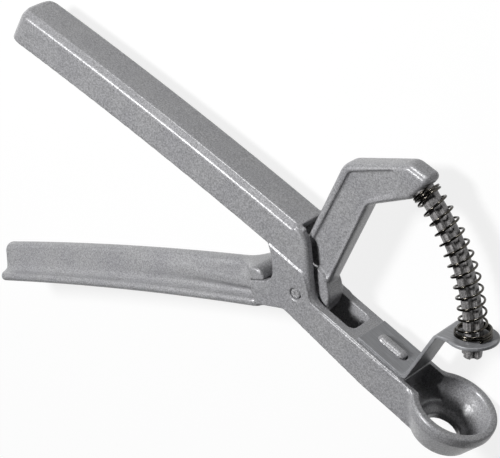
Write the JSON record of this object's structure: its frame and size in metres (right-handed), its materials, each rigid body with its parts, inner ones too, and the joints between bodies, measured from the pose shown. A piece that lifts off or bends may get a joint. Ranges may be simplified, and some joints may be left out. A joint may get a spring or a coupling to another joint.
{
  "type": "olive pitter",
  "caption": "Hand pitter with two handles on one pivot: a curved steel punch drives the pit of an olive or cherry held in a cup down through the cup's throat.",
  "frame": {"origin": "centre of the pit throat at the base face of the cup", "axes": "+X along the frame from the handles' side to the cup's side, +Y up from the cup's base to the punch, +Z along the pivot pin; the tool lies on its side and is symmetric about the plane Z = 0"},
  "size_m": [0.1798, 0.1305, 0.025],
  "materials": {
    "cast_lacquer": "die-cast, silver lacquered, finely speckled satin",
    "sheet_steel": "pressed stainless sheet, rolled grain",
    "punch_steel": "drawn stainless section, bright ribs with streaks along it",
    "pin_steel": "turned steel pin end",
    "spring_wire": "dark drawn spring wire, lightly oiled"
  },
  "bodies": {
    "frame": {"frame_casting": "cast_lacquer", "pivot_pin": "pin_steel", "ejector_plate": "sheet_steel"},
    "lever": {"lever_casting": "cast_lacquer", "punch": "punch_steel", "return_spring": "spring_wire"}
  },
  "joints": [
    {"name": "squeeze", "type": "hinge", "parent": "frame", "child": "lever", "pos_m": [-0.0524, 0.0099, 0], "axis": [0, 0, -1], "range_deg": [0, 31], "stiffness_Nm_per_rad": 1.05, "springref_deg": -8.59, "deforming": ["return_spring"]}
  ]
}
